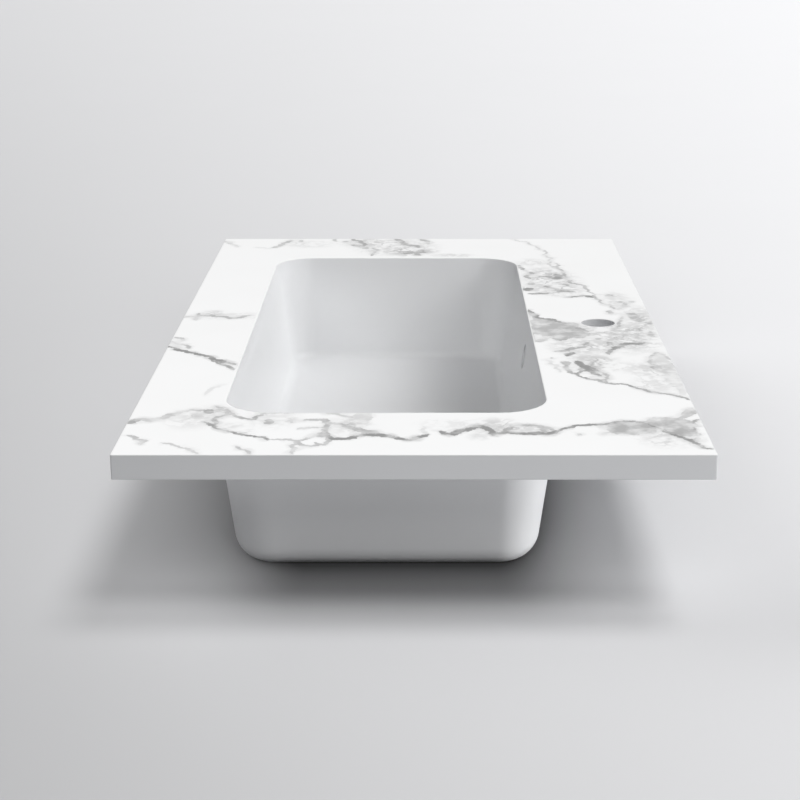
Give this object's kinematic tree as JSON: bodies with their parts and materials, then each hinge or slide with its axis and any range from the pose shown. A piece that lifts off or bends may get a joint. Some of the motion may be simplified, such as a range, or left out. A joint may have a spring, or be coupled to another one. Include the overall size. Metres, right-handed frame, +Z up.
{
  "type": "washbasin",
  "caption": "Rectangular washbasin top with a marble-look face, a bowl held under the slab, a tap hole, an overflow duct and a push-open waste.",
  "frame": {"origin": "in the plane of the slab's underside, where a cabinet's rim holds it, at the middle of the slab's length and width", "axes": "+X along the slab's length, +Y to the wall and the tap hole, +Z up"},
  "size_m": [0.9, 0.5, 0.1988],
  "materials": {
    "slab_white": "satin white mineral composite",
    "marble": "polished surface with grey veins on white",
    "bowl_white": "gloss white gel coat on mineral composite",
    "bond": "cured white adhesive",
    "duct_plastic": "moulded plastic",
    "chrome": "polished",
    "rubber": "matte",
    "dark_plastic": "moulded plastic",
    "steel": "zinc plated",
    "brass": "turned"
  },
  "bodies": {
    "basin": {"top_slab": "slab_white", "marble_surface": "marble", "bowl": "bowl_white", "bowl_bond_bead": "bond", "overflow_duct": "duct_plastic", "waste_body": "chrome", "waste_top_gasket": "rubber", "waste_lower_gasket": "rubber", "waste_washer": "dark_plastic", "waste_nut": "chrome", "plug_cartridge": "dark_plastic", "plug_spring": "steel", "bowl_clip_1": "steel", "bowl_clip_2": "steel", "bowl_clip_3": "steel", "bowl_clip_4": "steel", "bowl_clip_5": "steel", "bowl_clip_6": "steel", "bowl_clip_7": "steel", "bowl_clip_8": "steel", "clip_screw_1": "steel", "clip_screw_2": "steel", "clip_screw_3": "steel", "clip_screw_4": "steel", "clip_screw_5": "steel", "clip_screw_6": "steel", "clip_screw_7": "steel", "clip_screw_8": "steel", "clip_insert_1": "brass", "clip_insert_2": "brass", "clip_insert_3": "brass", "clip_insert_4": "brass", "clip_insert_5": "brass", "clip_insert_6": "brass", "clip_insert_7": "brass", "clip_insert_8": "brass"},
    "plug": {"plug_cap": "chrome", "plug_seal": "rubber", "plug_stem": "brass"}
  },
  "joints": [
    {"name": "plug_slide", "type": "slide", "parent": "basin", "child": "plug", "axis": [0, 0, 1], "range_m": [0, 0.008], "deforming": ["plug_spring"]}
  ]
}
